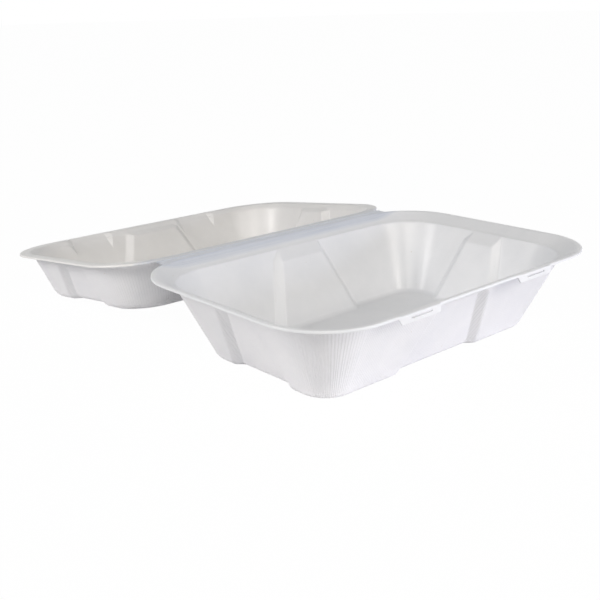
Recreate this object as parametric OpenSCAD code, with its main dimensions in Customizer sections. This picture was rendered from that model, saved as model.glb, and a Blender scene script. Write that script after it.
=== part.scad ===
// Moulded-fibre clamshell container, laid open: a deep base tray and a shallower lid that share one long fold.
// The fold runs along X, the base stands in front of it on the table at Z = 0, and the open lid lies behind it,
// its front edge resting on the same table. The origin is the middle of the base's underside.

/* [Rim] */
// Length of both rims, along the fold
rim_l = 229; // [205:1:260]
// Width of each rim, from its front edge to its back edge
rim_w = 157; // [140:1:185]
// Corner radius of the rims
rim_r = 38; // [32:1:44]
// Thickness of the pressed fibre
wall = 0.9; // [0.6:0.1:1.4]
// How far the lip round the rims reaches down below the flange's underside
lip_fall = 0.4; // [0.3:0.1:2]
// Radius over the top of the lip
lip_r = 0.7; // [0.4:0.1:0.9]

/* [Base] */
// Depth of the base, from its rim to the table
base_depth = 48.5; // [42:0.5:58]
// Width of the level strip of the base's flange, next to the lip's rounding
base_strip_w = 1.6; // [0.8:0.1:2.2]
// Width of the base's flange, out to the edge of the lip
base_flange_w = 8.6; // [7.4:0.2:11]
// How far the base's flange falls from that strip towards the walls
base_flange_fall = 4; // [2.5:0.1:5]
// Width of the shelf between the base's flange and its walls
base_shelf_w = 3; // [2:0.5:4]
// Fall of that shelf
base_shelf_fall = 0.6; // [0.4:0.1:1.2]
// Slope of the base's walls from upright, in degrees
base_draft = 25; // [18:1:28]
// Radius round the base's floor, outside
base_floor_r = 5; // [3:0.5:9]

/* [Lid] */
// Depth of the lid, from its rim to its top panel
lid_depth = 32; // [26:0.5:38]
// Width of the lid's flange, out to the edge of the lip
lid_flange_w = 7; // [6:0.5:10]
// Height of the step between the lid's flange and its walls
lid_step_h = 1.6; // [1:0.1:3]
// Width of that step
lid_step_w = 1.8; // [1:0.1:3]
// Slope of the lid's walls from upright, in degrees
lid_draft = 20; // [14:1:26]
// Radius round the lid's top panel, outside
lid_floor_r = 7; // [4:0.5:10]

/* [Wall panels] */
// How far each wall's middle panel is pressed inwards
panel_inset = 4; // [2:0.5:6]
// Width of the slanted facet along each side of a panel
facet_w = 4.5; // [2:0.5:7]
// Height of the sloping ledge over the base's panels
base_ledge_h = 5.8; // [3:0.2:7]
// Height of the sloping ledge over the lid's panels
lid_ledge_h = 1.8; // [1:0.2:4]
// Drop from the top of a wall to the ledge
ledge_drop = 0.3; // [0.2:0.1:1]
// Width of the panels in the base's long walls, at their top
base_long_top = 28; // [20:1:34]
// Width of the panels in the base's long walls, at the floor
base_long_foot = 59; // [44:1:66]
// Width of the panels in the base's short walls, at their top
base_short_top = 17; // [10:1:24]
// Width of the panels in the base's short walls, at the floor
base_short_foot = 40; // [28:1:48]
// Width of the panels in the lid's long walls, at their top
lid_long_top = 35; // [24:1:38]
// Width of the panels in the lid's long walls, at the top panel
lid_long_foot = 60; // [46:1:66]
// Width of the panels in the lid's short walls, at their top
lid_short_top = 21; // [12:1:28]
// Width of the panels in the lid's short walls, at the top panel
lid_short_foot = 40; // [28:1:48]

/* [Locks] */
// Length of each of the two locks along the front rims
lock_l = 27; // [18:1:32]
// Width of the slanted end of a lock
lock_end_w = 1.4; // [0.8:0.1:2.5]
// How far the base's lip bulges forward at a lock
lock_bulge = 1.0; // [0.4:0.1:2]
// How far the base's lip reaches further down at a lock
lock_drop = 3; // [2:0.1:3.4]
// Length of the slit through the base's lip at a lock
slit_l = 15; // [8:1:16]
// Width of that slit
slit_w = 0.9; // [0.6:0.1:1.2]
// How far the lid's front wall is pocketed outwards at a lock
pocket_out = 3; // [1.5:0.5:3.5]
// Height of the lid's pockets, from the rim down to where they run out into the wall
pocket_h = 10.5; // [8:0.5:12]
// Width of the slanted end of a pocket, under the lid's flange
pocket_end_w = 4; // [2:0.5:4.5]

/* [Hinge] */
// Width of the flat web from each rim to the fold
web_w = 3; // [2:0.5:6]
// Gap between the two webs at the fold
fold_gap = 0.3; // [0.2:0.1:0.6]
// Gap between the two flanges when the lid is shut
shut_gap = 0.4; // [0.3:0.1:1]
// Depth of the pressed creases along the hinge
crease_d = 0.3; // [0.1:0.1:0.4]
// Width of a crease
crease_w = 0.9; // [0.5:0.1:1.4]
// Distance from the fold to the second crease
crease_run = 4.4; // [3.4:0.1:6]

/* [Hidden] */
base_colour = [0.89, 0.89, 0.93];
lid_colour = [0.85, 0.84, 0.83];
// Segments in a ring's corner and in an edge's rounding
corner_steps = 12;
arc_steps = 4;
// Corner segments before the rim's curve meets the web
notch_step = 9;
// Share of each inward move that a ring's corner radius loses
corner_loss_share = 0.75;
// Places of the left and right lock between the front panel and the end of the straight rim
lock_place_shares = [0.58, 0.4];
// Places of a lock's four points along a wall that has none
plain_shares = [0.2, 0.4, 0.6, 0.8];
// Height of the lip, radius at the flange's inner edge, and reach of a cut beyond what it cuts
lip_h = wall + lip_fall;
flange_edge_r = wall;
overrun = wall;
// Fields of a station: inset from the rim, level from the rim, share of the panels' inset, move of the locks as
// [outward, down, width of their slanted ends], and place on the hinge web as [run from the fold, level]
INSET = 0;
LEVEL = 1;
PANEL = 2;
LOCK = 3;
WEB = 4;

function station(inset, level, panel = 0, lock = undef, web = undef) = [inset, level, panel, lock, web];

function corner_r(inset) = rim_r - inset * corner_loss_share;
function half_l(inset) = rim_l / 2 - inset;
function half_w(inset) = rim_w / 2 - inset;
function straight_l(inset) = half_l(inset) - corner_r(inset);

// The fold line, and where the hinge web ends
fold_y = half_w(0) + web_w + fold_gap / 2;
fold_z = base_depth + shut_gap / 2;
web_end = straight_l(0) + corner_r(0) * cos(90 * notch_step / corner_steps);

// Middle of the lock on one side, -1 for the left and 1 for the right, and level of its slit below the rim
lock_from = base_long_top / 2 + facet_w;
lock_run = straight_l(base_flange_w) - lock_from;
function lock_x(side) = side * (lock_from + lock_run * lock_place_shares[side < 0 ? 0 : 1]);
slit_level = -(lip_r + lip_h + lock_drop - slit_w) / 2;

// Ends of the level flange, of the flange and of the step or shelf below it, as [inset, level]
base_shoulder = [lip_r + base_strip_w, 0];
base_edge = [base_flange_w, -base_flange_fall];
base_foot = base_edge + [base_shelf_w, -base_shelf_fall];
lid_shoulder = [lid_flange_w - flange_edge_r, 0];
lid_edge = [lid_flange_w, -flange_edge_r];
lid_foot = lid_edge + [lid_step_w, -lid_step_h];

// Inset of a wall's inner face at a level, and of the centre that its floor's rounding turns about
function inner_inset(foot, draft, level) = foot[0] + (foot[1] - level) * tan(draft);
function round_inset(foot, draft, depth, r) = inner_inset(foot, draft, r - depth) + (r - wall) / cos(draft);

// Angle at which the lid's rounded front edge just touches the table
lid_round_r = round_inset(lid_foot, lid_draft, lid_depth, lid_floor_r);
lid_reach = fold_gap / 2 + web_w + rim_w - lid_round_r;
lid_drop = lid_depth + shut_gap / 2 - lid_floor_r;
lid_droop = asin((fold_z - lid_floor_r) / norm([lid_reach, lid_drop])) - atan2(lid_drop, lid_reach);

// The rounding between floor and wall, from one angle to the other, on the inner or the outer face
function floor_round(centre, depth, r, face_r, angles) =
    [for (a = angles) station(centre - face_r * cos(a), r - depth - face_r * sin(a), 1)];

// Move of a pocket's points, from its full depth under the flange to none at its foot
function pocket_lock(pocket, open_share) =
    [pocket * open_share, 0, lock_end_w + (pocket_end_w - lock_end_w) * open_share];

// Section of one half as stations, up its outside from the floor, over the lip and down its inside
function section(depth, shoulder, edge, foot, ledge_h, draft, floor_r, bulge, drop, pocket) =
    let (centre = round_inset(foot, draft, depth, floor_r),
        skin = wall / cos(draft),
        ledge_top = foot[1] - ledge_drop,
        ledge_foot = ledge_top - ledge_h,
        pocket_foot = min(-pocket_h, ledge_foot - ledge_drop),
        angles = [for (i = [0:arc_steps]) draft + (90 - draft) * i / arc_steps],
        steep = [for (i = [arc_steps:-1:0]) angles[i]],
        end_w = pocket > 0 ? pocket_end_w : lock_end_w,
        lip_lock = [bulge, 0, end_w],
        hem_lock = [bulge, drop, end_w],
        flange_lock = [pocket, 0, end_w],
        levels = [
            [foot[1], 0],
            [ledge_top, 0],
            [ledge_foot, 1],
            if (pocket > 0) [pocket_foot, 1]],
        inside = [for (v = levels)
            let (open_share = (v[0] - pocket_foot) / (foot[1] - pocket_foot),
                wall_lock = pocket > 0 ? pocket_lock(pocket, open_share) : undef)
            station(inner_inset(foot, draft, v[0]), v[0], v[1], wall_lock)],
        outside = [for (i = [len(inside) - 1:-1:0]) let (s = inside[i])
            station(s[INSET] - skin, s[LEVEL] - (i == 0 ? wall / 2 : 0), s[PANEL], s[LOCK])])
    concat(
        floor_round(centre, depth, floor_r, floor_r, steep),
        outside,
        [station(edge[0] - wall / 2, edge[1] - wall, 0, flange_lock),
            if (shoulder[0] > lip_r + 2 * wall) station(shoulder[0] - wall / 2, -wall, 0, flange_lock),
            station(lip_r + wall, -wall, 0, lip_lock, [crease_run + crease_w, -wall]),
            station(wall, -max(lip_r, wall), 0, lip_lock, [crease_run / 2, -wall]),
            station(wall, -lip_h, 0, hem_lock, [crease_w, -wall]),
            station(0, -lip_h, 0, hem_lock, [0, -wall + crease_d / 2])],
        [for (i = [0:arc_steps - 1]) let (a = 90 * i / (arc_steps - 1))
            station(lip_r * (1 - cos(a)), lip_r * (sin(a) - 1), 0, lip_lock, web_crease(i))],
        [station(shoulder[0], shoulder[1], 0, flange_lock), station(edge[0], edge[1], 0, flange_lock)],
        inside,
        floor_round(centre, depth, floor_r, floor_r - wall, angles));

// The web's creases, one at the fold and one further in, in place of the lip's rounding
function web_crease(i) = [[0, -crease_d], [crease_w, 0], [crease_run - crease_w, 0], [crease_run, -crease_d]][i];

// A point of a side that runs along t, at a distance along it and out from the middle
function on_side(t, along, out) = [t.y * out + t.x * along, t.y * along - t.x * out];

// Half-width of a panel, from its top at the ledge to its foot at the floor
function panel_half(widths, ledge_share) = (widths[0] + (widths[1] - widths[0]) * ledge_share) / 2;

// The four points where a side's panel and its facets begin and end
function panel_points(s, t, reach, half) =
    [for (k = [[-1, 1], [-1, 0], [1, 0], [1, 1]])
        let (p = on_side(t, k[0] * (half + k[1] * facet_w), reach - (1 - k[1]) * s[PANEL] * panel_inset))
        [p.x, p.y, s[LEVEL]]];

// The four points of one lock, or the same number of plain points where the wall has none
function lock_points(s, t, reach, half, side) =
    let (from = half + facet_w,
        clear = straight_l(s[INSET]) - from,
        ends = [[-1, 1], [-1, 0], [1, 0], [1, 1]],
        move = is_undef(s[LOCK]) ? [0, 0, 0] : s[LOCK])
    [for (i = [0:3])
        let (k = ends[i],
            along = is_undef(s[LOCK]) ? side * (from + clear * plain_shares[side < 0 ? 3 - i : i])
                : lock_x(side) + k[0] * (lock_l / 2 + k[1] * move[2]),
            p = on_side(t, along, reach + (1 - k[1]) * move[0]))
        [p.x, p.y, s[LEVEL] - (1 - k[1]) * move[1]]];

// One corner of a ring, turned anticlockwise from an angle
function corner_points(s, turn) =
    let (r = corner_r(s[INSET]),
        c = [sign(cos(turn + 45)) * straight_l(s[INSET]), sign(sin(turn + 45)) * (half_w(s[INSET]) - r)])
    [for (i = [0:corner_steps])
        let (a = turn + 90 * i / corner_steps)
        [c.x + r * cos(a), c.y + r * sin(a), s[LEVEL]]];

// Moves the points of the back side that belong to the hinge web out to the fold
function with_web(s, points) =
    is_undef(s[WEB]) ? points
        : [for (i = [0:len(points) - 1])
            let (p = points[i],
                from_end = min(i, len(points) - 1 - i),
                x = from_end == notch_step + 1 ? sign(p.x) * (web_end - s[WEB][0]) : p.x)
            from_end <= notch_step ? p : [x, half_w(0) + web_w - s[WEB][0], s[WEB][1]]];

// One ring of the half at a station, anticlockwise from the right side
function ring(s, depth, ledge, long_widths, short_widths) =
    let (down_share = max(0, -s[LEVEL] - ledge) / (depth - ledge),
        long_half = panel_half(long_widths, down_share),
        short_half = panel_half(short_widths, down_share),
        l = half_l(s[INSET]),
        w = half_w(s[INSET]))
    concat(
        panel_points(s, [0, 1], l, short_half),
        with_web(s, concat(corner_points(s, 0), panel_points(s, [-1, 0], w, long_half), corner_points(s, 90))),
        panel_points(s, [0, -1], l, short_half),
        corner_points(s, 180),
        lock_points(s, [1, 0], w, long_half, -1),
        panel_points(s, [1, 0], w, long_half),
        lock_points(s, [1, 0], w, long_half, 1),
        corner_points(s, 270));

// Closed skin through the rings, with a fan over the floor outside and another inside
module skin_of(rings) {
    n = len(rings[0]);
    m = len(rings);
    points = concat([for (r = rings) each r], [[0, 0, rings[0][0].z], [0, 0, rings[m - 1][0].z]]);
    sides = [for (k = [0:m - 2], i = [0:n - 1])
        let (j = (i + 1) % n)
        each [[k * n + i, k * n + n + i, k * n + n + j], [k * n + i, k * n + n + j, k * n + j]]];
    caps = [for (i = [0:n - 1])
        let (j = (i + 1) % n)
        each [[i, j, m * n], [(m - 1) * n + j, (m - 1) * n + i, m * n + 1]]];
    polyhedron(points, concat(sides, caps));
}

// Slits through the base's lip at the locks
module lock_slits() {
    for (side = [-1, 1])
        translate([lock_x(side), -half_w(wall / 2 - lock_bulge), base_depth + slit_level])
            cube([slit_l, wall + 2 * overrun, slit_w], center = true);
}

module base() {
    sections = section(base_depth, base_shoulder, base_edge, base_foot, base_ledge_h, base_draft, base_floor_r,
        lock_bulge, lock_drop, 0);
    ledge = ledge_drop - base_foot[1];
    color(base_colour) difference() {
        translate([0, 0, base_depth])
            skin_of([for (s = sections) ring(s, base_depth, ledge, [base_long_top, base_long_foot],
                [base_short_top, base_short_foot])]);
        lock_slits();
    }
}

module lid() {
    sections = section(lid_depth, lid_shoulder, lid_edge, lid_foot, lid_ledge_h, lid_draft, lid_floor_r,
        0, 0, pocket_out);
    ledge = ledge_drop - lid_foot[1];
    color(lid_colour)
        translate([0, fold_y, fold_z]) rotate([-lid_droop, 0, 0]) translate([0, fold_y, -shut_gap / 2])
            mirror([0, 1, 0])
                skin_of([for (s = sections) ring(s, lid_depth, ledge, [lid_long_top, lid_long_foot],
                    [lid_short_top, lid_short_foot])]);
}

base();
lid();
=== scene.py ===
# %% [markdown]
# # A moulded-fibre clamshell container, laid open
# The real container is one sheet of wet plant fibre, pressed between two heated moulds: a deep base and a
# shallower lid with a fold between them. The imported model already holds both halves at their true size.
# It is loaded first and stays a fixed frame: everything below is made in metres, in the same place.

# %% Load the frame
import math

import bmesh
import bpy
from mathutils import Matrix, Vector


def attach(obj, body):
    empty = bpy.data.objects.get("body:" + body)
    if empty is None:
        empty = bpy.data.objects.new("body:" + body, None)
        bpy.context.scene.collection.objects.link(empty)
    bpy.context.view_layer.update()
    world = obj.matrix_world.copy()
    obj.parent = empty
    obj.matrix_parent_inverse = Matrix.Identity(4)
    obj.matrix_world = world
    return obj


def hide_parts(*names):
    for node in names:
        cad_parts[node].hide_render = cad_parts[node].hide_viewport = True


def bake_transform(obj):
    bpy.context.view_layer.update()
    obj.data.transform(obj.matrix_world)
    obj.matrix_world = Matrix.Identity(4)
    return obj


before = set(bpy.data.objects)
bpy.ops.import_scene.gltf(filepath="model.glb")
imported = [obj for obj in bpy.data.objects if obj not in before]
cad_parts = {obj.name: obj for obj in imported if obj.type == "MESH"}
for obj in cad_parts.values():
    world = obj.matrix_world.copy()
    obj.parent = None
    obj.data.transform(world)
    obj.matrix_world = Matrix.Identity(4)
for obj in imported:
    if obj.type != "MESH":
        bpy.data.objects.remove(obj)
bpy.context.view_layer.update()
bpy.ops.object.select_all(action="DESELECT")
MM = 0.001

# %% [markdown]
# ## The camera
# The picture looks down on the front left corner of the base. The angles, the distance and the focal length
# were found by fitting the rims and the lower edges of the model to the picture. The moves to the left and
# down put the whole container in the square frame without any lens shift.

# %% Place the camera
turn, tilt, roll = (math.radians(angle) for angle in (-41.411, 18.131, -1.357))
rim_level = 48.5 * MM
camera_distance, camera_left, camera_down = 499.142 * MM, 41.449 * MM, 24.128 * MM
sensor_w, focal_length = 36, 53.206
nearest_seen = 10 * MM
back = Vector((math.sin(turn) * math.cos(tilt), -math.cos(turn) * math.cos(tilt), math.sin(tilt)))
level_right = (-back).cross(Vector((0, 0, 1))).normalized()
level_up = back.cross(level_right)
right = level_right * math.cos(roll) + level_up * math.sin(roll)
up = level_up * math.cos(roll) - level_right * math.sin(roll)
camera_place = Vector((0, 0, rim_level)) + back * camera_distance - right * camera_left - up * camera_down
camera_turn = Matrix((right, up, back)).transposed().to_euler()
bpy.ops.object.camera_add(location=camera_place, rotation=camera_turn)
camera = bpy.context.object
camera.name = "photo_camera"
camera.data.sensor_width = sensor_w
camera.data.lens = focal_length
camera.data.clip_start = nearest_seen
bpy.context.scene.camera = camera
print("camera at", [round(v, 3) for v in camera.location], "lens", camera.data.lens)

# %% [markdown]
# ## Directions in each half
# Base and lid are alike: each is a tray whose back edge lies on the fold. The same steps can make both, if
# every place is told in the tray's own terms: how far it runs out from the fold, and how high it is above
# the rim. The base is level. The lid droops from the fold until its front edge rests on the table.

# %% Describe the two halves
fold = Vector((0, 81.65 * MM, 48.7 * MM))
rim_below_fold = 0.2 * MM
lid_droop = math.radians(7.014)
halves = {
    "base": {"out": Vector((0, -1, 0)), "up": Vector((0, 0, 1))},
    "lid": {
        "out": Vector((0, math.cos(lid_droop), -math.sin(lid_droop))),
        "up": Vector((0, math.sin(lid_droop), math.cos(lid_droop))),
    },
}


def run(half, point):
    """How far a point lies out from the fold."""
    return (point - fold).dot(halves[half]["out"])


def level(half, point):
    """How high a point lies above the half's rim."""
    return (point - fold).dot(halves[half]["up"]) + rim_below_fold


for half in halves:
    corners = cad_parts[half].data.vertices
    reach = max(run(half, v.co) for v in corners)
    depth = -min(level(half, v.co) for v in corners)
    print(half, "runs out", round(reach / MM, 1), "mm and is", round(depth / MM, 1), "mm deep")

# %% [markdown]
# ## Selecting by a test
# By hand, the parts of a mesh are selected by clicking. In a script they are found by a question about their
# place or direction: is it a border edge, does the face look down? Two helpers do this for every step below.
# One makes a piece the only selected one, and the other selects its vertices, edges or faces by a test.

# %% Select pieces and parts of their meshes
def work_on(piece):
    """Makes a piece the only selected one."""
    bpy.ops.object.select_all(action="DESELECT")
    piece.select_set(True)
    bpy.context.view_layer.objects.active = piece


def pick(piece, kind, test):
    """Selects the vertices, edges or faces of a piece that pass a test, and counts them."""
    bpy.ops.object.mode_set(mode="EDIT")
    bpy.ops.mesh.select_mode(type=kind)
    bpy.ops.mesh.select_all(action="DESELECT")
    mesh = bmesh.from_edit_mesh(piece.data)
    parts = {"VERT": mesh.verts, "EDGE": mesh.edges, "FACE": mesh.faces}[kind]
    found = [part for part in parts if test(part)]
    for part in found:
        part.select_set(True)
    mesh.select_flush_mode()
    bmesh.update_edit_mesh(piece.data)
    return len(found)


print("triangles of the solids:", {half: len(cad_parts[half].data.polygons) for half in halves})

# %% [markdown]
# ## Taking the upper skin of a half
# A pressed sheet has one thickness all over, so the easy way to soften its edges is to work on a single
# surface and to give it thickness at the end. That surface could be drawn anew with insets and extrusions,
# but a copy of the solid already has every panel and corner in its place. The copy is merged, its triangles
# are joined to quads, and the faces that look down are deleted. What stays is the side that the upper mould
# pressed.

# %% Copy each half and keep its upper skin
front_run = 158 * MM
lip_level = -0.9 * MM
least_upward_share = 0.12
same_place_gap, crowded_gap = 0.01 * MM, 0.45 * MM
most_bent_quad, most_skewed_quad = math.radians(30), math.radians(120)


def looks_down(half, face):
    """True for the lower skin, and for the lip's upright faces with the slits in them."""
    middle = face.calc_center_median()
    in_front_lip = half == "base" and run(half, middle) > front_run and level(half, middle) < lip_level
    return in_front_lip or face.normal.dot(halves[half]["up"]) < least_upward_share


def take_upper_skin(half):
    """Copies a half's solid and keeps only the faces that look up."""
    work_on(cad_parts[half])
    bpy.ops.object.duplicate()
    skin = bpy.context.object
    skin.name = half + "_shell"
    skin.parent = None
    for key in list(skin.keys()):
        del skin[key]
    bpy.ops.object.mode_set(mode="EDIT")
    bpy.ops.mesh.select_all(action="SELECT")
    bpy.ops.mesh.remove_doubles(threshold=same_place_gap)
    bpy.ops.mesh.tris_convert_to_quads(face_threshold=most_bent_quad, shape_threshold=most_skewed_quad)
    down = pick(skin, "FACE", lambda f: looks_down(half, f))
    bpy.ops.mesh.delete(type="FACE")
    pick(skin, "VERT", lambda v: level(half, v.co) < lip_level)
    bpy.ops.mesh.remove_doubles(threshold=crowded_gap)
    bpy.ops.object.mode_set(mode="OBJECT")
    print(skin.name, "lost", down, "faces that look down and keeps", len(skin.data.polygons))
    return skin


shells = {half: take_upper_skin(half) for half in halves}

# %% [markdown]
# ## The flat floor
# The solid closes each floor with many triangles. They all lie in one plane, so they are dissolved to one
# face, and a narrow inset gives the rounding at the foot of the walls a neat border.

# %% Clean the floors
flat_within = 0.02 * MM
floor_border = 2 * MM
for half, shell in shells.items():
    work_on(shell)
    lowest = min(level(half, v.co) for v in shell.data.vertices)
    flat = pick(shell, "FACE", lambda f: all(level(half, v.co) < lowest + flat_within for v in f.verts))
    bpy.ops.mesh.dissolve_faces()
    bpy.ops.mesh.inset(thickness=floor_border, depth=0)
    bpy.ops.object.mode_set(mode="OBJECT")
    print(shell.name, "floor of", flat, "faces is one face now")

# %% [markdown]
# ## The turned-down lip
# Round the free edge of both halves the fibre is turned down to a slim lip, which stiffens the rim. Only the
# fold has none. A profile swept round the rim could give it too, but the border edges extruded straight
# down stay one sheet with the flange.

# %% Extrude the lips
lip_drop = 0.6 * MM
web_run = 1 * MM
for half, shell in shells.items():
    work_on(shell)
    edges = pick(
        shell, "EDGE", lambda e: e.is_boundary and min(run(half, v.co) for v in e.verts) > web_run
    )
    downward = halves[half]["up"] * -lip_drop
    bpy.ops.mesh.extrude_region_move(TRANSFORM_OT_translate={"value": downward})
    bpy.ops.object.mode_set(mode="OBJECT")
    print(shell.name, "lip of", edges, "edges")

# %% [markdown]
# ## The lock tabs
# At the two front locks the base's lip stands out a little and reaches further down, to hold the slit that
# the lid snaps into. The lip's lower points are picked there and moved down.

# %% Lengthen the base's lip at the locks
lock_drop = 3 * MM
rim_half_w = 78.5 * MM
lock_stands_out = 0.5 * MM
base_front = run("base", Vector((0, -rim_half_w, 0)))
work_on(shells["base"])
lock_hem = pick(
    shells["base"],
    "VERT",
    lambda v: run("base", v.co) > base_front + lock_stands_out and level("base", v.co) < lip_level,
)
bpy.ops.transform.translate(value=(0, 0, -lock_drop))
bpy.ops.object.mode_set(mode="OBJECT")
print("points of the locks' hems moved down:", lock_hem)

# %% [markdown]
# ## Where the sheet folds
# Wet fibre can't fill a sharp mould corner, so every fold of the sheet is soft. First the folds have to be
# found: edges that turn by 18 degrees or more, except in the lip and the hinge's creases, which have a shape
# of their own. The pockets in the lid's front wall and the feet of the base's short panels are small, so
# they are told apart: they have room for a narrow rounding only.

# %% Tell the folds and the tight places
lock_places = {"left": -50.8 * MM, "right": 40.8 * MM}
pocket_half_l, pocket_run, pocket_foot = 18.5 * MM, 140 * MM, -12 * MM
foot_x, foot_half_w, foot_level = 72 * MM, 28 * MM, -44 * MM
least_turn = math.radians(18)
lip_top, lip_foot = -0.02 * MM, -1.5 * MM
hang_level, hang_upward_share = -3.9 * MM, 0.6
crease_run, crease_level = 6 * MM, -0.5 * MM


def near_pocket(point):
    """True in the strip of the lid's front wall that holds a pocket."""
    beside = min(abs(point.x - x) for x in lock_places.values())
    return beside < pocket_half_l and run("lid", point) > pocket_run and level("lid", point) > pocket_foot


def at_short_foot(point):
    """True at the foot of the base's short panels, whose side facets are small."""
    return abs(point.x) > foot_x and abs(point.y) < foot_half_w and level("base", point) < foot_level


def is_tight(half, edge):
    """True for an edge that has room for a narrow rounding only."""
    if half == "lid":
        return any(near_pocket(v.co) for v in edge.verts)
    return all(at_short_foot(v.co) for v in edge.verts)


def is_fold(half, edge):
    """True for an edge that turns, but not in the lip, on steep faces by the rim or in the creases."""
    if len(edge.link_faces) != 2 or edge.calc_face_angle() < least_turn:
        return False
    middle = (edge.verts[0].co + edge.verts[1].co) / 2
    height = level(half, middle)
    in_lip = lip_foot < height < lip_top
    hangs = height > hang_level and edge.link_faces[0].normal.dot(halves[half]["up"]) < hang_upward_share
    in_crease = run(half, middle) < crease_run and height > crease_level
    return not (in_lip or hangs or in_crease)


print("locks at x =", {side: round(x / MM, 1) for side, x in lock_places.items()}, "mm")

# %% [markdown]
# ## Soft moulded edges
# A subdivision surface would soften the whole sheet alike and shrink its panels, so the bevel operator
# rounds the folds alone: wide on the panels and shelves, and narrow in the tight places. Where the wide ones
# meet, slivers can be left over, so close points are merged before the narrow ones are made.

# %% Round the folds of the sheet
wide_rounding, narrow_rounding = 0.9 * MM, 0.45 * MM
wide_steps, narrow_steps = 3, 2
round_share = 0.5
sliver_w, sliver_edge = 0.2 * MM, 0.05 * MM
for half, shell in shells.items():
    work_on(shell)
    wide = pick(shell, "EDGE", lambda e: is_fold(half, e) and not is_tight(half, e))
    bpy.ops.mesh.bevel(
        offset=wide_rounding, segments=wide_steps, profile=round_share, clamp_overlap=False, loop_slide=True
    )
    bpy.ops.mesh.select_all(action="SELECT")
    bpy.ops.mesh.remove_doubles(threshold=sliver_w)
    bpy.ops.mesh.dissolve_degenerate(threshold=sliver_edge)
    narrow = pick(shell, "EDGE", lambda e: is_fold(half, e) and is_tight(half, e))
    bpy.ops.mesh.bevel(
        offset=narrow_rounding, segments=narrow_steps, profile=round_share, clamp_overlap=True
    )
    bpy.ops.object.mode_set(mode="OBJECT")
    print(shell.name, "wide roundings", wide, "narrow roundings", narrow, "faces", len(shell.data.polygons))

# %% [markdown]
# ## Thickness
# A Solidify modifier grows the sheet outwards to the thickness of pressed fibre. The new outer skin gets the
# second material slot, because the outside is marked by the wire screen of its mould and the inside is not.
# Inside the lip the rounding is tighter than the sheet is thick, so the points of the outer skin that cross
# there are merged.

# %% Give both shells their thickness
fibre_thickness = 0.9 * MM
inside_lip_level = -2.2 * MM
crossing_w, crossing_edge = 0.8 * MM, 0.02 * MM


def is_inside_lip(half, vertex):
    """True for the points of the outer skin that lie inside the lip."""
    is_outer = all(face.material_index == 1 for face in vertex.link_faces)
    return is_outer and level(half, vertex.co) > inside_lip_level


for half, shell in shells.items():
    work_on(shell)
    shell.data.materials.clear()
    for finish in (half + "_inside", "screen_marked_outside"):
        shell.data.materials.append(bpy.data.materials.get(finish) or bpy.data.materials.new(finish))
    for face in shell.data.polygons:
        face.material_index = 0
    bpy.ops.object.modifier_add(type="SOLIDIFY")
    grow = shell.modifiers[-1]
    grow.thickness = fibre_thickness
    grow.offset = -1
    grow.material_offset = 1
    bpy.ops.object.modifier_apply(modifier=grow.name)
    pick(shell, "VERT", lambda v: is_inside_lip(half, v))
    bpy.ops.mesh.remove_doubles(threshold=crossing_w)
    bpy.ops.mesh.select_all(action="SELECT")
    bpy.ops.mesh.dissolve_degenerate(threshold=crossing_edge)
    bpy.ops.object.mode_set(mode="OBJECT")
    print(shell.name, "solid with", len(shell.data.polygons), "faces")

# %% [markdown]
# ## Slits in the base's locks
# At each lock a slit goes through the base's lip, where the lid's edge snaps in. The faces of the lip don't
# end where the slit does, so it isn't cut face by face: a small block is set across the lip and cut out with
# a Boolean modifier.

# %% Cut the slits
slit_size = Vector((15, 3, 0.9)) * MM
slit_y, slit_level = -79.1 * MM, 46.45 * MM
for side, x in lock_places.items():
    bpy.ops.mesh.primitive_cube_add(size=1, location=(x, slit_y, slit_level))
    block = bpy.context.object
    block.scale = slit_size
    bpy.ops.object.transform_apply(location=True, rotation=True, scale=True)
    work_on(shells["base"])
    bpy.ops.object.modifier_add(type="BOOLEAN")
    cut = shells["base"].modifiers[-1]
    cut.operation = "DIFFERENCE"
    cut.solver = "EXACT"
    cut.object = block
    bpy.ops.object.modifier_apply(modifier=cut.name)
    bpy.data.objects.remove(block)
    print("slit on the", side, "leaves", len(shells["base"].data.polygons), "faces")

# %% [markdown]
# ## The fold
# Between the halves the sheet runs on through the fold, where it was pressed to a fine bead. A shell follows
# one half only, so a narrow strip of its own bridges the gap between both webs. Each point of a flat grid is
# raised by its place across the strip, which gives the bead a round crown.

# %% Make the fold strip
strip_l, strip_w, strip_thickness = 182 * MM, 1.3 * MM, 0.35 * MM
strip_level, bead_h = 48.12 * MM, 0.5 * MM
steps_along, steps_across = 24, 8
bpy.ops.mesh.primitive_grid_add(
    x_subdivisions=steps_along, y_subdivisions=steps_across, size=1, location=(0, fold.y, strip_level)
)
strip = bpy.context.object
strip.name = "fold_strip"
strip.scale = (strip_l, strip_w, 1)
bpy.ops.object.transform_apply(location=True, rotation=True, scale=True)
for point in strip.data.vertices:
    across_share = (point.co.y - fold.y) / (strip_w / 2)
    point.co.z += bead_h * math.sqrt(max(0, 1 - across_share**2))
for finish in ("base_inside", "screen_marked_outside"):
    strip.data.materials.append(bpy.data.materials[finish])
bpy.ops.object.modifier_add(type="SOLIDIFY")
strip.modifiers[-1].thickness = strip_thickness
strip.modifiers[-1].offset = -1
bpy.ops.object.modifier_apply(modifier=strip.modifiers[-1].name)
print("fold strip with", len(strip.data.polygons), "faces")

# %% [markdown]
# ## Coordinates along the walls
# The print of the wire screen runs up the walls and round the corners, so it can't be told in straight axes,
# and an unwrap could turn each panel its own way. So each shell's map is computed, in millimetres: across is
# the way along the wall's outline, and up is the way down the wall. On level faces the map is simply the
# plan. The walls lean in, and the corners with them, so a corner's middle is found for each depth.

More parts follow.
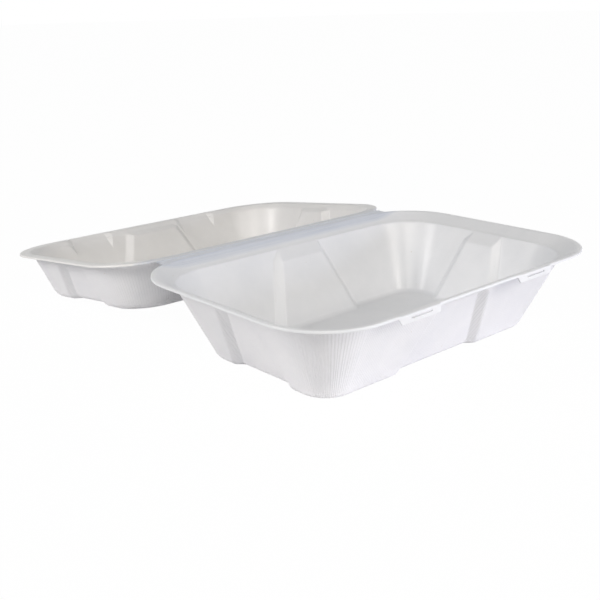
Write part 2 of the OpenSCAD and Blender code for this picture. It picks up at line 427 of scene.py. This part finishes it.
# %% Map the walls
rim_half_l, rim_r = 114.5 * MM, 38 * MM
corner_loss_share = 0.75
print_r = 24 * MM
flat_share = 0.8
halves["base"].update(top_inset=11.6 * MM, slope=math.tan(math.radians(25)))
halves["lid"].update(top_inset=8.8 * MM, slope=math.tan(math.radians(20)))


def in_plan(half, point):
    """A point's place in the plan of its half, from the middle of the rim."""
    return Vector((point.x, run(half, point) - fold.y))


def along_outline(half, place, middle, depth):
    """The way along a wall's outline, in the straight side or the corner that holds the face's middle."""
    inset = halves[half]["top_inset"] + depth * halves[half]["slope"]
    corner_x = rim_half_l - rim_r - inset * (1 - corner_loss_share)
    corner_y = rim_half_w - rim_r - inset * (1 - corner_loss_share)
    if abs(middle.y) < corner_y:
        return place.y
    if abs(middle.x) < corner_x:
        return place.x
    return print_r * math.atan2(abs(place.y) - corner_y, abs(place.x) - corner_x)


for half, shell in shells.items():
    screen_map = shell.data.uv_layers.new(name="along_walls")
    for face in shell.data.polygons:
        is_level = abs(face.normal.dot(halves[half]["up"])) > flat_share
        middle = in_plan(half, face.center)
        for corner in face.loop_indices:
            point = shell.data.vertices[shell.data.loops[corner].vertex_index].co
            place = in_plan(half, point)
            if not is_level:
                depth = -level(half, point)
                place = Vector((along_outline(half, place, middle, depth), depth))
            screen_map.data[corner].uv = place / MM
    print(shell.name, "mapped in millimetres:", screen_map.name)

# %% [markdown]
# ## Smooth shading
# The roundings are made of short segments, so the faces are shaded smooth. Only edges that turn by more than
# 38 degrees stay sharp, such as the cut edges of the sheet. Weighted normals let the large flat faces
# decide, which keeps the walls flat up to their roundings.

# %% Shade the pieces
sharp_from = math.radians(38)
for piece in (*shells.values(), strip):
    work_on(piece)
    bpy.ops.object.shade_smooth_by_angle(angle=sharp_from)
    bpy.ops.object.modifier_add(type="WEIGHTED_NORMAL")
    piece.modifiers[-1].keep_sharp = True
    bpy.ops.object.modifier_apply(modifier=piece.modifiers[-1].name)
    print(piece.name, "shaded,", sum(len(f.vertices) - 2 for f in piece.data.polygons), "triangles")

# %% [markdown]
# ## Building with nodes
# A material is a chain of small steps: a noise, a ramp that turns it into colour, a bump that turns it into
# relief. Each helper adds one such step and returns the socket that the next one reads.

# %% Define the steps of a material
def add(tree, kind, **values):
    """Adds a node and sets its inputs by name."""
    node = tree.nodes.new(kind)
    for name, value in values.items():
        node.inputs[name].default_value = value
    return node


def noise(tree, place, scale, detail, rough):
    """A soft noise. Scale is the count of its waves in one unit of the place that it reads."""
    node = add(tree, "ShaderNodeTexNoise", Scale=scale, Detail=detail, Roughness=rough)
    tree.links.new(place, node.inputs["Vector"])
    return node.outputs["Fac"]


def ramp(tree, factor, first, last):
    """A colour that passes from the first stop to the last. A stop is a position and a colour."""
    node = tree.nodes.new("ShaderNodeValToRGB")
    for element, (position, colour) in zip(node.color_ramp.elements, (first, last)):
        element.position = position
        element.color = (*colour, 1)
    tree.links.new(factor, node.inputs["Fac"])
    return node.outputs["Color"]


def dye(tree, factor, colour, tint):
    """Multiplies a colour by a tint, as far as the factor says."""
    node = tree.nodes.new("ShaderNodeMix")
    node.data_type = "RGBA"
    node.blend_type = "MULTIPLY"
    tree.links.new(factor, node.inputs["Factor"])
    tree.links.new(colour, node.inputs["A"])
    node.inputs["B"].default_value = (*tint, 1)
    return node.outputs["Result"]


def bump(tree, height, distance, normal=None):
    """A relief of the given depth, on top of another relief if there is one."""
    node = add(tree, "ShaderNodeBump", Strength=1.0, Distance=distance)
    tree.links.new(height, node.inputs["Height"])
    if normal is not None:
        tree.links.new(normal, node.inputs["Normal"])
    return node.outputs["Normal"]


finishes = {slot.name for shell in shells.values() for slot in shell.material_slots}
print("finishes to build:", sorted(finishes))

# %% [markdown]
# ## Pressed plant fibre
# The fibre is bleached and slightly uneven: its white drifts by a shade over a few centimetres, fine fibres
# roughen it, and a few darker specks of husk stay in it. Noise at several scales gives the colour, the
# roughness and the bump. All of it reads Object coordinates, so it sits still on the piece from every side.
# The insides were pressed by a smooth mould, so they have more sheen than the outside. The lid's inside gets
# a slightly warmer white than the base's: painted light, for the warmer light that falls into the lid.

# %% Build the fibre finish of the insides
black, white = (0, 0, 0), (1, 1, 1)
drift_from_share, drift_to_share = 0.3, 0.7
speck_from_share, speck_to_share = 0.76, 0.8
husk_tint = (0.86, 0.82, 0.74)
wave_depth = 0.9 * MM
gloss_share, sheen_share, sheen_roughness = 0.5, 0.08, 0.6


def fibre(name, pale, shade, smoothest, roughest, grain_depth):
    """A fibre finish between two whites. Returns its node tree, shader, place, colour and relief."""
    material = bpy.data.materials[name]
    material.use_nodes = True
    tree = material.node_tree
    shader = tree.nodes["Principled BSDF"]
    place = tree.nodes.new("ShaderNodeTexCoord").outputs["Object"]
    clouds = noise(tree, place, scale=34, detail=5, rough=0.6)
    drift = ramp(tree, clouds, (drift_from_share, shade), (drift_to_share, pale))
    spots = noise(tree, place, scale=420, detail=2, rough=0.5)
    speck = ramp(tree, spots, (speck_from_share, black), (speck_to_share, white))
    colour = dye(tree, speck, drift, husk_tint)
    tree.links.new(colour, shader.inputs["Base Color"])
    dull = add(tree, "ShaderNodeMapRange", **{"To Min": smoothest, "To Max": roughest})
    tree.links.new(noise(tree, place, scale=160, detail=4, rough=0.6), dull.inputs["Value"])
    tree.links.new(dull.outputs["Result"], shader.inputs["Roughness"])
    shader.inputs["Specular IOR Level"].default_value = gloss_share
    shader.inputs["Sheen Weight"].default_value = sheen_share
    shader.inputs["Sheen Roughness"].default_value = sheen_roughness
    waves = bump(tree, noise(tree, place, scale=26, detail=3, rough=0.5), wave_depth)
    relief = bump(tree, noise(tree, place, scale=900, detail=5, rough=0.7), grain_depth, waves)
    tree.links.new(relief, shader.inputs["Normal"])
    return tree, shader, place, colour, relief


inside_whites_with_painted_warmth = {
    "base_inside": {"pale": (0.81, 0.82, 0.84), "shade": (0.76, 0.775, 0.8)},
    # The lid's warmer white is painted light: it stands in for the warmer light inside the lid.
    "lid_inside": {"pale": (0.82, 0.815, 0.81), "shade": (0.77, 0.765, 0.76)},
}
insides = {
    name: fibre(name, **whites, smoothest=0.3, roughest=0.4, grain_depth=0.05 * MM)
    for name, whites in inside_whites_with_painted_warmth.items()
}
print("inside finishes:", sorted(insides))

# %% [markdown]
# ## Streaks and painted shade along the hinge
# A band on either side of the fold is covered with fine streak lines that run along the hinge. Their darker,
# cooler tint is partly painted shade: it also stands in for the shade on the sloping band beside the fold.
# Modelled one by one they would be thousands of faces, so a noise that is stretched a hundredfold along the
# fold gives them, and the distance from the fold fades them out.

# %% Add the streak lines and their painted shade
streak_scales = (14, 1500, 300)
streak_band, streak_end = 9 * MM, 12 * MM
# A darker, cooler tint: real streak lines, and painted shade on the sloping band beside the fold.
streak_and_shade_tint = (0.68, 0.74, 0.86)
streak_depth = 0.4 * MM


def calculate(tree, operation, first, second=0):
    """Adds a math node. Each of its two values is a socket or a number."""
    node = tree.nodes.new("ShaderNodeMath")
    node.operation = operation
    for socket, value in zip(node.inputs, (first, second)):
        if isinstance(value, (int, float)):
            socket.default_value = value
        else:
            tree.links.new(value, socket)
    return node.outputs["Value"]


def beside_fold(tree, place):
    """One in the band beside the fold, fading to zero at its end."""
    split = tree.nodes.new("ShaderNodeSeparateXYZ")
    tree.links.new(place, split.inputs["Vector"])
    away = calculate(tree, "ABSOLUTE", calculate(tree, "SUBTRACT", split.outputs["Y"], fold.y))
    limits = {"From Min": streak_band, "From Max": streak_end, "To Min": 1.0, "To Max": 0.0}
    fade = add(tree, "ShaderNodeMapRange", **limits)
    tree.links.new(away, fade.inputs["Value"])
    return fade.outputs["Result"]


for name, (tree, shader, place, colour, relief) in insides.items():
    stretch = add(tree, "ShaderNodeMapping", Scale=streak_scales)
    tree.links.new(place, stretch.inputs["Vector"])
    lines = noise(tree, stretch.outputs["Vector"], scale=1, detail=3, rough=0.6)
    # The mask marks the streak lines and paints the band's shade; it also drives their bump.
    streaks_and_band_shade = calculate(tree, "MULTIPLY", lines, beside_fold(tree, place))
    tree.links.new(dye(tree, streaks_and_band_shade, colour, streak_and_shade_tint), shader.inputs["Base Color"])
    tree.links.new(bump(tree, streaks_and_band_shade, streak_depth, relief), shader.inputs["Normal"])
    print(name, "with streaks has", len(tree.nodes), "nodes")

# %% [markdown]
# ## The print of the wire screen
# The outer mould is lined with a woven wire screen that lets the water out, and its wires leave a print with
# a line every 1.4 mm. Most faces of the mesh are larger than that, so the print is a bump: a cosine along
# the wall's own map gives the upright wires, and a weaker one down the wall gives the wires across.

# %% Build the screen-marked finish
outside_whites = {"pale": (0.83, 0.83, 0.85), "shade": (0.775, 0.78, 0.81)}
tree, shader, _, _, relief = fibre(
    "screen_marked_outside", **outside_whites, smoothest=0.6, roughest=0.78, grain_depth=0.09 * MM
)
screen_pitch = 1.4 * MM
wire_shares = {"X": 1.0, "Y": 0.2}
print_depth = 0.05 * MM
walls = tree.nodes.new("ShaderNodeUVMap")
walls.uv_map = "along_walls"
split = tree.nodes.new("ShaderNodeSeparateXYZ")
tree.links.new(walls.outputs["UV"], split.inputs["Vector"])
weave = 0
for axis, share in wire_shares.items():
    phase = calculate(tree, "MULTIPLY", split.outputs[axis], 2 * math.pi / (screen_pitch / MM))
    wires = calculate(tree, "MULTIPLY", calculate(tree, "COSINE", phase), share)
    weave = calculate(tree, "ADD", wires, weave)
tree.links.new(bump(tree, weave, print_depth, relief), shader.inputs["Normal"])
print("outside finish with", len(tree.nodes), "nodes")

# %% [markdown]
# ## What each piece rides on
# The shells take the place of the two solids and move with them. The strip's place is baked into its mesh.

# %% Tie the pieces to the frame
for half, shell in shells.items():
    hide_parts(half)
    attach(shell, half)
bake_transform(strip)

# %% [markdown]
# ## The floor
# The container stands on plain white. A large pale floor takes its shadow, and camera rays see the floor
# almost white through Light Path, so that the white needs no more light on the container.

# %% Lay the floor
floor_size = 40
floor_white, floor_roughness = (0.95, 0.95, 0.95, 1), 0.9
seen_white_share = 0.985


def mix_shaders(tree, factor, first, second, surface):
    """Mixes two shaders by a factor, into an output's surface."""
    mix = tree.nodes.new("ShaderNodeMixShader")
    tree.links.new(factor, mix.inputs["Fac"])
    tree.links.new(first, mix.inputs[1])
    tree.links.new(second, mix.inputs[2])
    tree.links.new(mix.outputs["Shader"], surface)


bpy.ops.mesh.primitive_plane_add(size=floor_size, location=(0, 0, 0))
floor = bpy.context.object
floor.name = "pale_floor"
paint = bpy.data.materials.new("pale_floor")
paint.use_nodes = True
tree = paint.node_tree
shader = tree.nodes["Principled BSDF"]
shader.inputs["Base Color"].default_value = floor_white
shader.inputs["Roughness"].default_value = floor_roughness
glow = add(tree, "ShaderNodeEmission", Color=(*white, 1), Strength=1.0)
seen = tree.nodes.new("ShaderNodeLightPath")
share = calculate(tree, "MULTIPLY", seen.outputs["Is Camera Ray"], seen_white_share)
surface = tree.nodes["Material Output"].inputs["Surface"]
mix_shaders(tree, share, shader.outputs["BSDF"], glow.outputs["Emission"], surface)
floor.data.materials.append(paint)
print("floor", [round(v, 2) for v in floor.dimensions])

# %% [markdown]
# ## The light of the room
# A dim, even light from all round fills the shadows. A white room would fill them too far, so only camera,
# glossy and transmission rays see plain white: the background and what reflects it are white, and the fill
# stays dim.

# %% Set the world's light
room_colour, room_strength = (0.86, 0.93, 1.0, 1), 0.12
world = bpy.data.worlds.new("studio")
bpy.context.scene.world = world
world.use_nodes = True
tree = world.node_tree
room = tree.nodes["Background"]
room.inputs["Color"].default_value = room_colour
room.inputs["Strength"].default_value = room_strength
backdrop = add(tree, "ShaderNodeBackground", Color=(*white, 1), Strength=1.0)
seen = tree.nodes.new("ShaderNodeLightPath")
camera_or_gloss = calculate(tree, "MAXIMUM", seen.outputs["Is Camera Ray"], seen.outputs["Is Glossy Ray"])
any_view = calculate(tree, "MAXIMUM", camera_or_gloss, seen.outputs["Is Transmission Ray"])
surface = tree.nodes["World Output"].inputs["Surface"]
mix_shaders(tree, any_view, room.outputs["Background"], backdrop.outputs["Background"], surface)
print("world strength", round(room.inputs["Strength"].default_value, 2))

# %% [markdown]
# ## The lamps
# Three soft lamps shape the walls: one in front, one on the left, and one above the camera, which gives a
# sheen to the inner corners that face the viewer. A small, cooler lamp stands low in front on the right. It
# lights the outside of the front wall, and the same wall keeps most of it off the inside.

# %% Hang the lamps
lamp_aim = Vector((0, 80 * MM, 30 * MM))
lamp_distance = 1.2
wide_lamp, small_lamp = 0.4, 0.22


def softbox(name, azimuth, elevation, size, power, colour):
    """A square area lamp on a circle round the container, aimed at its middle. Azimuth 0 is the front."""
    turned, raised = math.radians(azimuth), math.radians(elevation)
    towards = Vector((math.sin(turned), -math.cos(turned), 0)) * math.cos(raised)
    towards.z = math.sin(raised)
    place = lamp_aim + towards * lamp_distance
    facing = towards.to_track_quat("Z", "Y").to_euler()
    bpy.ops.object.light_add(type="AREA", location=place, rotation=facing)
    lamp = bpy.context.object
    lamp.name = name
    lamp.data.size = size
    lamp.data.energy = power
    lamp.data.color = colour
    print(name, "of", power, "W at", [round(v, 2) for v in place])


softbox("front_softbox", azimuth=10, elevation=25, size=wide_lamp, power=5.4, colour=(1.0, 0.95, 0.89))
softbox("low_front_softbox", azimuth=35, elevation=5, size=small_lamp, power=3.9, colour=(0.8, 0.83, 1.0))
softbox("left_softbox", azimuth=-108, elevation=26, size=wide_lamp, power=6.9, colour=(1.0, 0.97, 0.95))
softbox("camera_softbox", azimuth=-41, elevation=38, size=wide_lamp, power=3.0, colour=(1.0, 0.96, 0.9))

# %% [markdown]
# ## Finish
# The picture is shown as it is rendered, without a film look.

# %% Finish
bpy.context.scene.view_settings.view_transform = "Standard"
